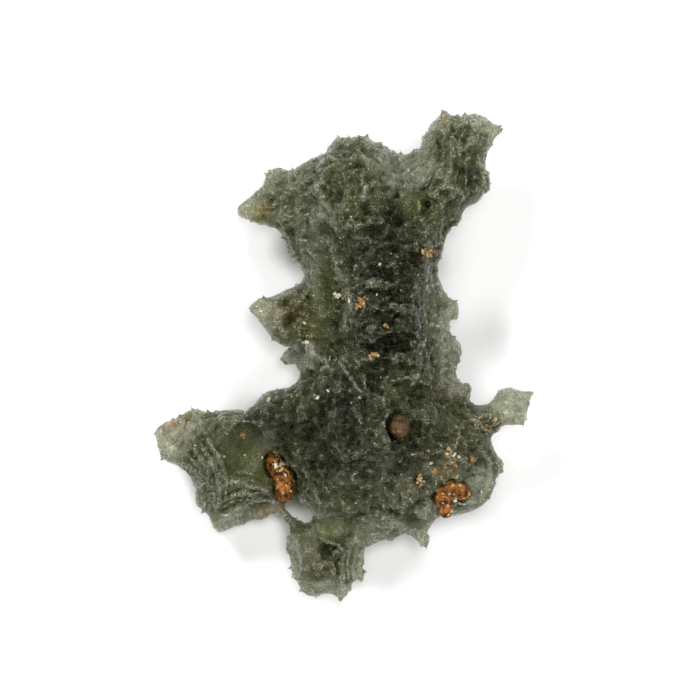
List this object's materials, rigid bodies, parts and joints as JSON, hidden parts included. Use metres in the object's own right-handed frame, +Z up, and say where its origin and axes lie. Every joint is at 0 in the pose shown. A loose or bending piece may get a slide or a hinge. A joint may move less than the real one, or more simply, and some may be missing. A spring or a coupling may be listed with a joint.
{
  "type": "moldavite",
  "caption": "Spiny natural moldavite, deeply pitted translucent green glass with horned lobes, a slim tail and clay lodged in its pits, lying on its back.",
  "frame": {"origin": "centre of the stone's plan at the surface that it lies on", "axes": "+Z up from the surface, out of the upper face; +Y along the stone's length, from the foot towards the horn; +X towards the tail"},
  "size_m": [0.0246, 0.0318, 0.0105],
  "materials": {
    "green_glass": "natural etched green glass, satin, densely pitted, paler at its thin rims",
    "orange_clay": "lodged ochre clay with cream grains, damp sheen on its lumps",
    "red_clay": "lodged red-brown clay, matte"
  },
  "bodies": {
    "root": {"moldavite_glass": "green_glass", "clay_left_groove": "orange_clay", "clay_right_pit": "orange_clay", "clay_centre_pit": "red_clay"}
  },
  "joints": []
}
